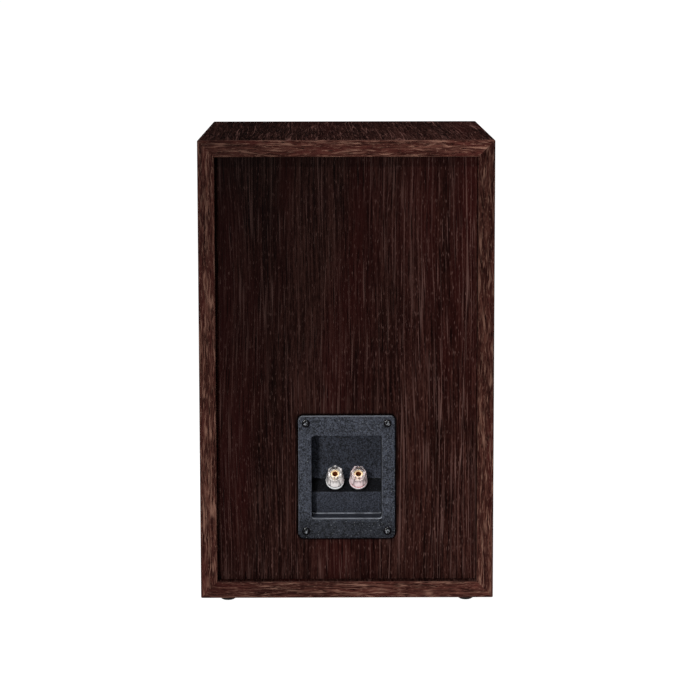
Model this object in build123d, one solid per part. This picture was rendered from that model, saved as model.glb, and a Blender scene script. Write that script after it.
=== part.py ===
from build123d import *
import math
import os

# Two-way bookshelf loudspeaker. Frame: +Z up, front (baffle, grille) towards -Y, rear
# (terminal plate) towards +Y, origin on the standing surface under the cabinet's centre.
# Millimetres. A mitred wrap of four boards holds a recessed front baffle and a recessed
# rear panel. The rear panel carries a moulded terminal cup with two tilted binding posts.

os.makedirs("parts", exist_ok=True)

# ---------------------------------------------------------------- driving dimensions
CAB_W = 212.0          # outside width of the wrap
CAB_H = 332.0          # outside height of the wrap
CAB_D = 268.0          # outside depth of the wrap
BOARD = 12.0           # wrap and rear panel board thickness
BAFFLE_T = 15.0        # front baffle thickness
FOOT_H = 5.0           # dome foot height
FOOT_R = 7.0
FOOT_INSET = 19.0      # foot centre from the cabinet's sides and ends
REAR_RECESS = 8.0      # rear panel face below the wrap's rear edge
FRONT_RECESS = 14.0    # baffle face behind the wrap's front edge
PANEL_GAP = 0.3        # visible joint line round the recessed panels

WOOFER_Z = 155.0
TWEETER_Z = 269.0
PORT_Z = 56.0
WOOFER_CUT_R = 58.0
TWEETER_CUT_R = 32.0
PORT_OUT_R = 21.0
PORT_IN_R = 19.0
GASKET_T = 1.0
WOOFER_TRAVEL = 4.0
TWEETER_TRAVEL = 0.3

PLATE_W = 70.0         # terminal plate
PLATE_H = 90.0
PLATE_T = 2.2
PLATE_SEAL = 0.8
PLATE_CZ = 92.9        # centre height of the plate
CUP_W = 50.8           # mouth of the recess
CUP_Z0 = 62.6          # recess mouth, bottom and top
CUP_Z1 = 123.1
CUP_WALL = 2.0
CUP_CORNER_R = 2.0  # rounding of the recess outline
CUP_LOW_D = 12.5       # depth of the lower wall of the recess
CUP_HIGH_D = 20.0      # depth of the upper wall of the recess
CUP_BAND_Z0 = 79.8     # lower and upper edge of the slanted post seat
CUP_BAND_Z1 = 88.8
PLATE_SCREW_X = 59.0
PLATE_SCREW_Z = 79.0

POST_PITCH = 17.0      # between the two binding posts
POST_TILT = math.degrees(math.atan2(CUP_HIGH_D - CUP_LOW_D, CUP_BAND_Z1 - CUP_BAND_Z0))
POST_R = 3.4
SOCKET_R = 2.05        # 4 mm banana socket
SOCKET_DEPTH = 20.0
POST_TIP = 16.3        # distance of the metal tip from the seat
WIRE_HOLE_R = 1.5
WIRE_HOLE_S = 7.7
CAP_END = 19.6
CAP_TRAVEL = 3.75      # five turns of 0.75 mm pitch

GRILLE_T = 12.0
GRILLE_BAR = 12.0
CLOTH_T = 0.8
GRILLE_GAP = 0.4       # grille to wrap, each side
PEG_X = 86.8
PEG_Z = (45.0, 297.0)

# ---------------------------------------------------------------- derived planes
Z0 = FOOT_H
Z1 = FOOT_H + CAB_H
ZC = (Z0 + Z1) / 2
X1 = CAB_W / 2
Y1 = CAB_D / 2
IN_X = X1 - BOARD
IN_Z0 = Z0 + BOARD
IN_Z1 = Z1 - BOARD
YB = -Y1 + FRONT_RECESS            # baffle front face
YBB = YB + BAFFLE_T                # baffle back face
YR = Y1 - REAR_RECESS              # rear panel outer face
YRI = YR - BOARD                   # rear panel inner face
YP = YR + PLATE_SEAL + PLATE_T     # terminal plate front face


def block(x0, x1, y0, y1, z0, z1):
    return Pos((x0 + x1) / 2, (y0 + y1) / 2, (z0 + z1) / 2) * Box(x1 - x0, y1 - y0, z1 - z0)


def rod_y(r, y0, y1, x, z):
    return Pos(x, (y0 + y1) / 2, z) * Rot(90, 0, 0) * Cylinder(r, y1 - y0)


def turned(points, x, z):
    """Solid of revolution about the line through (x, z) along Y. points are (radius, y)."""
    face = make_face(Polyline(*[(r, y, 0) for r, y in points], close=True))
    return Pos(x, 0, z) * revolve(face, Axis.Y, 360)


def turned_face(face, x, z):
    return Pos(x, 0, z) * revolve(face, Axis.Y, 360)


def ring(r0, r1, y0, y1, x, z):
    return turned([(r0, y0), (r1, y0), (r1, y1), (r0, y1)], x, z)


def dome_shell(r_rim, y_rim, y_apex, thick, x, z):
    """Spherical cap shell bulging towards -Y."""
    h = y_rim - y_apex
    big = (r_rim**2 + h**2) / (2 * h)
    shell = Pos(0, y_apex + big, 0) * (Sphere(big + thick / 2) - Sphere(big - thick / 2))
    keep = Pos(0, y_rim - 25, 0) * Box(200, 50, 200)
    return Pos(x, 0, z) * (shell & keep)


def write(shape, node):
    solids = shape.solids()
    out = solids[0] if len(solids) == 1 else Compound(children=list(solids))
    export_step(out, f"parts/{node}.step")


def screw_y(x, z, face_y, outward, head_r, head_h, shank_r, shank_l, turn=45):
    """Cross-recess pan head screw along Y. outward is +1 if the head looks to +Y."""
    head = Cylinder(head_r, head_h, align=(Align.CENTER, Align.CENTER, Align.MIN))
    head = fillet(head.edges().group_by(Axis.Z)[-1], head_h * 0.55)
    slot = Box(head_r * 1.15, head_r * 0.3, head_h, align=(Align.CENTER, Align.CENTER, Align.MIN))
    slot += Rot(0, 0, 90) * slot
    head -= Pos(0, 0, head_h * 0.35) * Rot(0, 0, turn) * slot
    shank = Pos(0, 0, -shank_l) * Cylinder(
        shank_r, shank_l, align=(Align.CENTER, Align.CENTER, Align.MIN)
    )
    body = head + shank
    return Pos(x, face_y, z) * Rot(-90 * outward, 0, 0) * body


# ---------------------------------------------------------------- the mitred wrap
shell = Pos(0, 0, ZC) * Box(CAB_W, CAB_D, CAB_H)
shell = fillet(shell.edges().filter_by(Axis.Y), 0.9)
shell -= Pos(0, 0, ZC) * Box(2 * IN_X, CAB_D + 2, IN_Z1 - IN_Z0)
ends = shell.edges().filter_by(lambda e: abs(abs(e.center().Y) - Y1) < 0.01)
shell = chamfer(ends, 0.45)
m = BOARD + 1.0


def mitre(points):
    face = make_face(Polyline(*[(x, 0, z) for x, z in points], close=True))
    return extrude(face, amount=CAB_D, both=True, dir=(0, 1, 0))


o = X1 + 1
top_zone = mitre([(-o, Z1 + 1), (o, Z1 + 1), (IN_X - 1, IN_Z1 - 1), (-IN_X + 1, IN_Z1 - 1)])
bot_zone = mitre([(-o, Z0 - 1), (o, Z0 - 1), (IN_X - 1, IN_Z0 + 1), (-IN_X + 1, IN_Z0 + 1)])
right_zone = mitre([(o, Z1 + 1), (o, Z0 - 1), (IN_X - 1, IN_Z0 + 1), (IN_X - 1, IN_Z1 - 1)])
left_zone = mitre([(-o, Z1 + 1), (-o, Z0 - 1), (-IN_X + 1, IN_Z0 + 1), (-IN_X + 1, IN_Z1 - 1)])
write(shell & top_zone, "top_panel")
write(shell & bot_zone, "bottom_panel")
write(shell & right_zone, "side_panel_right")
write(shell & left_zone, "side_panel_left")

# ---------------------------------------------------------------- rear panel
px = IN_X - PANEL_GAP
rear = block(-px, px, YRI, YR, IN_Z0 + PANEL_GAP, IN_Z1 - PANEL_GAP)
rear -= block(-CUP_W / 2 - 3.2, CUP_W / 2 + 3.2, YRI - 1, YR + 1, CUP_Z0 - 3.4, CUP_Z1 + 3.4)
plate_screws = [
    (sx * PLATE_SCREW_X / 2, PLATE_CZ + sz * PLATE_SCREW_Z / 2) for sx in (-1, 1) for sz in (-1, 1)
]
for x, z in plate_screws:
    rear -= rod_y(1.45, YR - 10, YR + 1, x, z)
BOARD_Z = 206.0
stand = [(sx * 50, BOARD_Z + sz * 34) for sx in (-1, 1) for sz in (-1, 1)]
for x, z in stand:
    rear -= rod_y(1.3, YRI - 1, YRI + 8, x, z)
write(rear, "back_panel")

# ---------------------------------------------------------------- front baffle
baffle = block(-px, px, YB, YBB, IN_Z0 + PANEL_GAP, IN_Z1 - PANEL_GAP)
baffle -= rod_y(WOOFER_CUT_R, YB - 1, YBB + 1, 0, WOOFER_Z)
baffle -= rod_y(TWEETER_CUT_R, YB - 1, YBB + 1, 0, TWEETER_Z)
baffle -= rod_y(PORT_OUT_R + 0.1, YB - 1, YBB + 1, 0, PORT_Z)
pegs = [(sx * PEG_X, z) for sx in (-1, 1) for z in PEG_Z]
for x, z in pegs:
    baffle -= rod_y(4.5, YB - 1, YB + 10.5, x, z)
W_SCREW_R, T_SCREW_R = 65.0, 35.0
woofer_screws = [
    (W_SCREW_R * math.cos(math.radians(a)), WOOFER_Z + W_SCREW_R * math.sin(math.radians(a)))
    for a in range(30, 390, 60)
]
tweeter_screws = [
    (T_SCREW_R * math.cos(math.radians(a)), TWEETER_Z + T_SCREW_R * math.sin(math.radians(a)))
    for a in range(45, 405, 90)
]
for x, z in woofer_screws:
    baffle -= rod_y(1.55, YB - 1, YB + 12.5, x, z)
for x, z in tweeter_screws:
    baffle -= rod_y(1.35, YB - 1, YB + 12.5, x, z)
write(baffle, "front_baffle")

# glue cleats in the corners behind the baffle and in front of the rear panel
C = 15.0
cleats = []
for y0, y1 in ((YBB, YBB + C), (YRI - C, YRI)):
    for s in (-1, 1):
        xa, xb = sorted((s * IN_X, s * (IN_X - C)))
        cleats.append(block(xa, xb, y0, y1, IN_Z0, IN_Z1))
    cleats.append(block(-IN_X + C, IN_X - C, y0, y1, IN_Z0, IN_Z0 + C))
    cleats.append(block(-IN_X + C, IN_X - C, y0, y1, IN_Z1 - C, IN_Z1))
write(Compound(children=cleats), "glue_cleats")

# ---------------------------------------------------------------- wadding on the inner walls
WAD = 18.0
ya, yb = YBB + C + 3, YRI - C - 3
pads = [
    block(-IN_X, -IN_X + WAD, ya, yb, IN_Z0 + C + 4, IN_Z1 - C - 4),
    block(IN_X - WAD, IN_X, ya, yb, IN_Z0 + C + 4, IN_Z1 - C - 4),
]
write(Compound(children=pads), "damping_wadding")

# ---------------------------------------------------------------- dome feet
foot_face = make_face(
    [
        Line((0, 0, 0), (3.6, 0, 0)),
        ThreePointArc((3.6, 0, 0), (6.05, 1.7, 0), (FOOT_R, 4.4, 0)),
        Line((FOOT_R, 4.4, 0), (FOOT_R, FOOT_H, 0)),
        Line((FOOT_R, FOOT_H, 0), (0, FOOT_H, 0)),
        Line((0, FOOT_H, 0), (0, 0, 0)),
    ]
)
foot = Rot(90, 0, 0) * revolve(foot_face, Axis.Y, 360)
feet_xy = [(sx * (X1 - FOOT_INSET), sy * (Y1 - FOOT_INSET)) for sx in (-1, 1) for sy in (-1, 1)]
write(Compound(children=[Pos(x, y, 0) * foot for x, y in feet_xy]), "rubber_feet")

# ---------------------------------------------------------------- terminal cup
plate = Pos(0, YP - PLATE_T / 2, PLATE_CZ) * Box(PLATE_W, PLATE_T, PLATE_H)
plate = fillet(plate.edges().filter_by(Axis.Y), 3.6)
plate = fillet(plate.edges().filter_by(lambda e: abs(e.center().Y - YP) < 0.01), 0.9)


def cup_profile(extra):
    """Recess cross-section in the YZ plane, as (depth below the plate's face, z)."""
    return [
        (-1.0, CUP_Z0 - 0.1 - extra),
        (-1.0, CUP_Z1 + 0.1 + extra),
        (CUP_HIGH_D, CUP_Z1 - 1.0),
        (CUP_HIGH_D, CUP_BAND_Z1),
        (CUP_LOW_D, CUP_BAND_Z0),
        (CUP_LOW_D, CUP_Z0 + 1.2),
    ]


def yz_face(points):
    return make_face(Polyline(*[(0, YP - d, z) for d, z in points], close=True))


void_face = yz_face(cup_profile(0))
void = extrude(void_face, amount=CUP_W / 2, both=True, dir=(1, 0, 0))
outer = extrude(
    offset(void_face, CUP_WALL, kind=Kind.INTERSECTION),
    amount=CUP_W / 2 + CUP_WALL,
    both=True,
    dir=(1, 0, 0),
)
outer = outer & block(-60, 60, 0, YP - 0.6, 0, 200)
corners = void.edges().filter_by(lambda e: abs(abs(e.center().X) - CUP_W / 2) < 0.01 and abs(e.tangent_at(0.5).Y) > 0.8)
corners = corners.filter_by(lambda e: e.length > 5)
try:
    void = fillet(corners, CUP_CORNER_R)
except Exception as problem:
    print("recess corner skipped:", problem)
inner_edges = void.edges().filter_by(
    lambda e: e.center().Y < YP - 1.5 and abs(e.tangent_at(0.5).Y) < 0.8
)
try:
    void = fillet(inner_edges, 1.1)
except Exception as problem:
    print("recess fillet skipped:", problem)
cup = plate + outer - void
rim = cup.edges().filter_by(
    lambda e: abs(e.center().Y - YP) < 0.01
    and abs(e.center().X) < CUP_W / 2 + 0.6
    and CUP_Z0 - 1 < e.center().Z < CUP_Z1 + 1
)
try:
    cup = fillet(rim, 0.7)
except Exception as problem:
    print("rim fillet skipped:", problem)

BAND_D = (CUP_LOW_D + CUP_HIGH_D) / 2
BAND_Z = (CUP_BAND_Z0 + CUP_BAND_Z1) / 2
t = math.radians(POST_TILT)
AX = (0, math.cos(t), math.sin(t))
print("post tilt", round(POST_TILT, 3), "axis", AX, "seat", YP - BAND_D, BAND_Z)


def post_frame(x):
    return Plane(origin=(x, YP - BAND_D, BAND_Z), x_dir=(1, 0, 0), z_dir=AX).location


def up(r, s0, s1):
    return Pos(0, 0, s0) * Cylinder(r, s1 - s0, align=(Align.CENTER, Align.CENTER, Align.MIN))


sides = {"red": -POST_PITCH / 2, "black": POST_PITCH / 2}
for x in sides.values():
    cup -= post_frame(x) * up(POST_R + 0.1, -6, 3)
for x, z in plate_screws:
    cup -= rod_y(1.8, YP - 6, YP + 2, x, z)
write(cup, "terminal_cup")

seal = Pos(0, YR + PLATE_SEAL / 2, PLATE_CZ) * Box(PLATE_W - 1.6, PLATE_SEAL, PLATE_H - 1.6)
seal = fillet(seal.edges().filter_by(Axis.Y), 3.0)
seal -= block(-CUP_W / 2 - 3.2, CUP_W / 2 + 3.2, YR - 1, YR + 3, CUP_Z0 - 3.4, CUP_Z1 + 3.4)
for x, z in plate_screws:
    seal -= rod_y(1.8, YR - 6, YR + 2, x, z)
write(seal, "terminal_gasket")
write(
    Compound(
        children=[
            screw_y(x, z, YP, 1, 2.95, 1.7, 1.45, 12.0, turn=20 + 17 * i)
            for i, (x, z) in enumerate(plate_screws)
        ]
    ),
    "terminal_screws",
)

# ---------------------------------------------------------------- binding posts (local +Z leaves the seat)
stud = up(POST_R, -14, POST_TIP) + up(4.7, 5.0, 5.8)
stud = chamfer(stud.edges().group_by(Axis.Z)[-1], 0.35)
stud -= up(SOCKET_R, POST_TIP - SOCKET_DEPTH, POST_TIP + 1)
stud -= Pos(0, 0, WIRE_HOLE_S) * Rot(90, 0, 0) * Cylinder(WIRE_HOLE_R, 20)
collar = up(5.4, 0, 5.0) - up(POST_R, -1, 6)
collar = chamfer(collar.edges().group_by(Axis.Z)[-1], 0.4)
washer = up(4.6, 5.85, 6.6) - up(POST_R + 0.1, 5, 7)
insert = up(4.9, 6.65, 14.5) - up(POST_R + 0.05, 6, 15) - up(POST_R + 0.4, 6, 10.4)

# clear cap: flange, groove for the marker ring, six-sided tapering grip
flange = up(6.7, 5.6, 7.2)
flange = fillet(flange.edges().group_by(Axis.Z)[-1], 0.4)
flange += up(5.9, 7.0, 8.5)
grip_cone = Pos(0, 0, 8.3) * Cone(6.45, 5.7, CAP_END - 8.3, align=(Align.CENTER, Align.CENTER, Align.MIN))
hex_low = Pos(0, 0, 8.3) * RegularPolygon(6.75, 6, major_radius=False)
hex_top = Pos(0, 0, CAP_END) * RegularPolygon(4.75, 6, major_radius=False)
grip = grip_cone & loft([hex_low, hex_top])
grip = chamfer(grip.edges().group_by(Axis.Z)[-1], 0.35)
cap = flange + grip
cap -= up(4.9, 4, 14.5)
cap -= up(5.0, 5, 6.65)
cap -= up(3.75, 14, CAP_END + 1)
marker = up(6.35, 7.25, 8.25) - up(5.9, 7, 9)
nut = Pos(0, 0, -5.4) * extrude(RegularPolygon(5.2, 6, major_radius=False), 3.0)
nut -= up(POST_R, -9, 0)
lug = up(5.0, -6.2, -5.4) + Pos(0, -9.0, -5.8) * Box(4.0, 12.0, 0.8)
lug -= up(POST_R, -9, 0)
lug -= Pos(0, -12.5, -6.5) * Cylinder(1.0, 4)
for name, x in sides.items():
    turn = 0 if name == "red" else 30
    spin = Rot(0, 0, turn)
    frame = post_frame(x)
    write(frame * stud, f"{name}_post_stud")
    write(frame * washer, f"{name}_clamp_washer")
    write(frame * insert, f"{name}_cap_insert")
    write(frame * spin * cap, f"{name}_post_cap")
    write(frame * marker, f"{name}_marker_ring")
write(Compound(children=[post_frame(x) * collar for x in sides.values()]), "post_collars")
write(Compound(children=[post_frame(x) * nut for x in sides.values()]), "post_nuts")
write(Compound(children=[post_frame(x) * lug for x in sides.values()]), "solder_lugs")

# ---------------------------------------------------------------- woofer (depths from the baffle face)
wd = YB - GASKET_T


def wpts(points):
    return [(r, wd + d) for r, d in points]


basket = turned(
    wpts(
        [
            (68, -2), (68, 0), (57.3, 0), (38.4, 40.5), (36.6, 44.5), (16, 44.5), (16, 42.5),
            (35.2, 42.5), (36.9, 39.0), (55.6, -1.0), (55.6, -2),
        ]
    ),
    0,
    WOOFER_Z,
)
basket += turned(wpts([(37.9, 30.3), (42.6, 30.3), (41.6, 32.0), (37.9, 32.0)]), 0, WOOFER_Z)
for a in range(0, 360, 60):
    window = Pos(0, 0, WOOFER_Z) * Rot(0, a, 0) * block(30, 75, wd + 6, wd + 27.5, -15, 15)
    basket -= window
for x, z in woofer_screws:
    basket -= rod_y(2.0, wd - 3, wd + 1, x, z)
write(basket, "woofer_basket")

trim = turned(
    wpts([(61.8, -2), (61.8, -3.6), (62.8, -4.6), (67.2, -4.6), (68.0, -3.8), (68.0, -2)]), 0, WOOFER_Z
)
for x, z in woofer_screws:
    trim -= rod_y(2.0, wd - 6, wd, x, z)
write(trim, "woofer_trim_ring")

roll = Pos(53.5, wd - 2.35, 0) * (Circle(3.75) - Circle(3.05))
roll = roll & (Pos(53.5, wd - 2.35 - 5, 0) * Rectangle(10, 10))
surround = roll + Pos((46.8 + 50.3) / 2, wd - 2.35, 0) * Rectangle(50.3 - 46.8, 0.7)
surround += Pos((56.7 + 61.5) / 2, wd - 2.35, 0) * Rectangle(61.5 - 56.7, 0.7)
write(turned_face(surround, 0, WOOFER_Z), "woofer_surround")

cone = make_face(
    [
        ThreePointArc((49.4, wd - 1.6, 0), (29.5, wd + 11.6, 0), (13.0, wd + 22.0, 0)),
        Line((13.0, wd + 22.0, 0), (13.0, wd + 23.0, 0)),
        ThreePointArc((13.0, wd + 23.0, 0), (29.5, wd + 12.6, 0), (49.4, wd - 0.8, 0)),
        Line((49.4, wd - 0.8, 0), (49.4, wd - 1.6, 0)),
    ]
)
write(turned_face(cone, 0, WOOFER_Z), "woofer_cone")
write(dome_shell(19.2, wd + 17.6, wd + 11.6, 0.6, 0, WOOFER_Z), "woofer_dust_cap")
write(
    Compound(
        children=[
            ring(12.6, 12.9, wd + 18.5, wd + 56, 0, WOOFER_Z),
            ring(12.9, 13.4, wd + 41, wd + 53, 0, WOOFER_Z),
        ]
    ),
    "woofer_voice_coil",
)
# corrugated centring spider
low, high = [], []
n = 11
for i in range(n + 1):
    r = 13.15 + (37.7 - 13.15) * i / n
    wave = 1.1 if i % 2 else -1.1
    if i in (0, n):
        wave = 0.0
    low.append((r, 29.9 + wave + 0.3))
    high.append((r, 29.9 + wave - 0.3))
low.append((40.6, 30.2))
high.append((40.6, 29.6))
write(turned(wpts(low + high[::-1]), 0, WOOFER_Z), "woofer_spider")
write(ring(13.9, 36, wd + 44.5, wd + 49.5, 0, WOOFER_Z), "woofer_top_plate")
magnet = turned(
    wpts([(20, 49.5), (38.8, 49.5), (40, 50.7), (40, 62.3), (38.8, 63.5), (20, 63.5)]), 0, WOOFER_Z
)
write(magnet, "woofer_magnet")
yoke = turned(
    wpts([(4, 44), (12.2, 44), (12.2, 63.5), (36, 63.5), (36, 67), (34.5, 68.5), (4, 68.5)]), 0, WOOFER_Z
)
write(yoke, "woofer_yoke")

# ---------------------------------------------------------------- tweeter
td = YB - GASKET_T


def tpts(points):
    return [(r, td + d) for r, d in points]


face_plate = turned(
    tpts(
        [
            (40, 0), (40, -2.2), (39.2, -3), (30.5, -3), (17.4, -0.7), (16.6, 0.3), (16.6, 2), (30, 2), (30, 0),
        ]
    ),
    0,
    TWEETER_Z,
)
for x, z in tweeter_screws:
    face_plate -= rod_y(1.8, td - 6, td + 3, x, z)
write(face_plate, "tweeter_faceplate")
write(dome_shell(12.4, td + 1.2, td - 3.8, 0.4, 0, TWEETER_Z), "tweeter_dome")
t_roll = Pos(14.1, td + 1.4, 0) * (Circle(1.2) - Circle(0.85))
t_roll = t_roll & (Pos(14.1, td + 1.4 - 2, 0) * Rectangle(6, 4))
t_roll += Pos((14.95 + 16.3) / 2, td + 1.6, 0) * Rectangle(16.3 - 14.95, 0.4)
write(turned_face(t_roll, 0, TWEETER_Z), "tweeter_surround")
write(
    Compound(
        children=[
            ring(12.65, 12.85, td + 1.5, td + 8.0, 0, TWEETER_Z),
            ring(12.85, 13.15, td + 2.8, td + 5.4, 0, TWEETER_Z),
        ]
    ),
    "tweeter_voice_coil",
)
write(ring(13.5, 28, td + 2, td + 6, 0, TWEETER_Z), "tweeter_top_plate")
write(
    turned(tpts([(15, 6), (29.2, 6), (30, 6.8), (30, 13.2), (29.2, 14), (15, 14)]), 0, TWEETER_Z),
    "tweeter_magnet",
)
write(
    turned(tpts([(0, 2.2), (12.3, 2.2), (12.3, 14), (28, 14), (28, 17), (27, 18), (0, 18)]), 0, TWEETER_Z),
    "tweeter_yoke",
)

gasket_w = ring(58.6, 67.4, YB - GASKET_T, YB, 0, WOOFER_Z)
for x, z in woofer_screws:
    gasket_w -= rod_y(2.0, YB - 3, YB + 1, x, z)
gasket_t = ring(32.4, 39.4, YB - GASKET_T, YB, 0, TWEETER_Z)
for x, z in tweeter_screws:
    gasket_t -= rod_y(1.8, YB - 3, YB + 1, x, z)
write(Compound(children=[gasket_w, gasket_t]), "driver_gaskets")
screws = [
    screw_y(x, z, wd - 4.6, -1, 2.6, 1.5, 1.5, 15.0, turn=13 * i) for i, (x, z) in enumerate(woofer_screws)
]
screws += [
    screw_y(x, z, td - 3.0, -1, 2.6, 1.5, 1.35, 13.0, turn=29 * i)
    for i, (x, z) in enumerate(tweeter_screws)
]
write(Compound(children=screws), "driver_screws")

# solder tabs: a small board on the woofer basket's lower spoke, two blades on the tweeter's rear
tabs = [block(-9, 9, wd + 34, wd + 35.2, WOOFER_Z - 54, WOOFER_Z - 41.5)]
for x in (-5, 5):
    tabs.append(block(x - 2, x + 2, wd + 35.2, wd + 36.0, WOOFER_Z - 60, WOOFER_Z - 46))
    tabs.append(block(x * 1.6 - 1.5, x * 1.6 + 1.5, td + 18.0, td + 24.0, TWEETER_Z - 20, TWEETER_Z - 19.2))
write(Compound(children=tabs), "driver_tabs")

# ---------------------------------------------------------------- reflex port
port = make_face(
    [
        Line((25.0, YB, 0), (25.0, YB - 1.0, 0)),
        Line((25.0, YB - 1.0, 0), (24.4, YB - 1.6, 0)),
        Line((24.4, YB - 1.6, 0), (23.6, YB - 1.6, 0)),
        ThreePointArc((23.6, YB - 1.6, 0), (20.3, YB + 0.4, 0), (PORT_IN_R, YB + 5.5, 0)),
        Line((PORT_IN_R, YB + 5.5, 0), (PORT_IN_R, YB + 108, 0)),
        Line((PORT_IN_R, YB + 108, 0), (PORT_OUT_R, YB + 108, 0)),
        Line((PORT_OUT_R, YB + 108, 0), (PORT_OUT_R, YB, 0)),
        Line((PORT_OUT_R, YB, 0), (25.0, YB, 0)),
    ]
)
write(turned_face(port, 0, PORT_Z), "port_tube")

# ---------------------------------------------------------------- crossover on the rear panel's inner face
board_y1 = YRI - 8.0
board_y0 = board_y1 - 1.6
pcb = block(-57, 57, board_y0, board_y1, BOARD_Z - 41, BOARD_Z + 41)
for x, z in stand:
    pcb -= rod_y(1.7, board_y0 - 1, board_y1 + 1, x, z)
write(pcb, "crossover_board")
write(
    Compound(children=[rod_y(3.5, board_y1, YRI, x, z) - rod_y(1.7, board_y1 - 1, YRI + 1, x, z) for x, z in stand]),
    "crossover_standoffs",
)
write(
    Compound(
        children=[screw_y(x, z, board_y0, -1, 2.6, 1.5, 1.3, 16.0, turn=31 * i) for i, (x, z) in enumerate(stand)]
    ),
    "crossover_screws",
)
by = board_y0
coils = [
    ring(9.5, 19.0, by - 17.0, by, -28, BOARD_Z + 13),
    ring(6.0, 12.5, by - 12.0, by, 33, BOARD_Z + 20),
]
write(Compound(children=coils), "crossover_inductors")


def rod_x(r, x0, x1, y, z):
    rod = Pos((x0 + x1) / 2, y, z) * Rot(0, 90, 0) * Cylinder(r, x1 - x0)
    return chamfer(rod.edges().filter_by(GeomType.CIRCLE), 0.8)


caps = [
    rod_x(7.5, 10, 44, by - 7.6, BOARD_Z - 8),
    rod_x(6.0, 12, 38, by - 6.1, BOARD_Z - 28),
]
write(Compound(children=caps), "crossover_capacitors")
write(block(-46, -10, by - 9.0, by, BOARD_Z - 30, BOARD_Z - 20), "crossover_resistor")


# ---------------------------------------------------------------- internal leads
def lead(points, r):
    """Round lead along straight runs joined by tangent arcs as large as the runs allow."""
    pts = [Vector(*p) for p in points]
    radii = []
    for i in range(1, len(pts) - 1):
        a, b = pts[i] - pts[i - 1], pts[i + 1] - pts[i]
        turn = math.radians(a.get_angle(b))
        radii.append(0.45 * min(a.length, b.length) / math.tan(turn / 2))
    path = FilletPolyline(*pts, radius=radii)
    tube = sweep(Plane(origin=path @ 0, z_dir=path % 0) * Circle(r), path=path)
    print(
        "lead length", round(path.length, 1), "radii", [round(x, 1) for x in radii],
        "volume ratio", round(tube.volume / (math.pi * r * r * path.length), 4),
    )
    return tube


c40, s40 = math.cos(t), math.sin(t)


def post_point(x, v, s):
    """Point at local y = v and height s of the post frame."""
    return (x, YP - BAND_D + s * c40 + v * s40, BAND_Z + s * s40 - v * c40)


inputs = []
for x in (-POST_PITCH / 2, POST_PITCH / 2):
    p = post_point(x, -13.0, -7.3)
    inputs.append(
        lead(
            [
                p, (x * 1.15, p[1] - 9, p[2] + 2), (x * 1.5, p[1] - 15, p[2] + 14), (x * 1.7, p[1] - 15.5, p[2] + 34),
                (x * 1.5, p[1] - 9, p[2] + 58), (x * 1.2, p[1] - 3, p[2] + 72), (x, by - 1.5, BOARD_Z - 34.5),
            ],
            1.0,
        )
    )
write(Compound(children=inputs), "input_leads")
woofer_leads = []
for x in (-5, 5):
    woofer_leads.append(
        lead(
            [
                (x * 0.8, by - 1.4, BOARD_Z - 36.5 - x * 0.3), (x * 0.9, by - 12, BOARD_Z - 44), (x, by - 40, BOARD_Z - 62),
                (x, by - 72, BOARD_Z - 84), (x, by - 105, BOARD_Z - 102), (x, wd + 50, WOOFER_Z - 58),
                (x, wd + 37.2, WOOFER_Z - 56),
            ],
            1.0,
        )
    )
write(Compound(children=woofer_leads), "woofer_leads")
tweeter_leads = []
for x in (-8, 8):
    tweeter_leads.append(
        lead(
            [
                (x * 0.4, by - 1.4, BOARD_Z + 38 - x * 0.2), (x * 0.5, by - 14, BOARD_Z + 46), (x * 0.7, by - 48, BOARD_Z + 52),
                (x * 0.9, by - 90, BOARD_Z + 48), (x, by - 130, BOARD_Z + 40), (x, td + 40, TWEETER_Z - 21.5),
                (x, td + 25.2, TWEETER_Z - 19.6),
            ],
            0.9,
        )
    )
write(Compound(children=tweeter_leads), "tweeter_leads")

# ---------------------------------------------------------------- grille
gx = IN_X - GRILLE_GAP - CLOTH_T
gz0 = IN_Z0 + GRILLE_GAP + CLOTH_T
gz1 = IN_Z1 - GRILLE_GAP - CLOTH_T
gy0 = -Y1 + 0.5 + CLOTH_T
gy1 = gy0 + GRILLE_T
frame_b = block(-gx, gx, gy0, gy1, gz0, gz1)
frame_b = fillet(frame_b.edges().filter_by(lambda e: abs(e.center().Y - gy0) < 0.01), 1.0)
frame_b -= block(-gx + GRILLE_BAR, gx - GRILLE_BAR, gy0 - 1, gy1 + 1, gz0 + GRILLE_BAR, gz1 - GRILLE_BAR)
for x, z in pegs:
    frame_b -= rod_y(2.5, gy1 - 6, gy1 + 1, x, z)
write(frame_b, "grille_frame")
cloth = block(-gx - CLOTH_T, gx + CLOTH_T, gy0 - CLOTH_T, gy1 - 1.0, gz0 - CLOTH_T, gz1 + CLOTH_T)
cloth = fillet(cloth.edges().filter_by(lambda e: abs(e.center().Y - (gy0 - CLOTH_T)) < 0.01), 1.6)
hollow = block(-gx, gx, gy0, gy1 + 1, gz0, gz1)
hollow = fillet(hollow.edges().filter_by(lambda e: abs(e.center().Y - gy0) < 0.01), 1.0)
cloth -= hollow
write(cloth, "grille_cloth")
peg_solids, cups = [], []
for x, z in pegs:
    peg = rod_y(2.5, gy1 - 6, gy1 + 8.6, x, z)
    peg = chamfer(peg.edges().group_by(Axis.Y)[-1], 0.8)
    peg_solids.append(peg)
    cups.append(rod_y(4.5, YB, YB + 10.5, x, z) - rod_y(2.8, YB - 1, YB + 9.5, x, z))
write(Compound(children=peg_solids), "grille_pegs")
write(Compound(children=cups), "grille_sockets")
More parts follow.
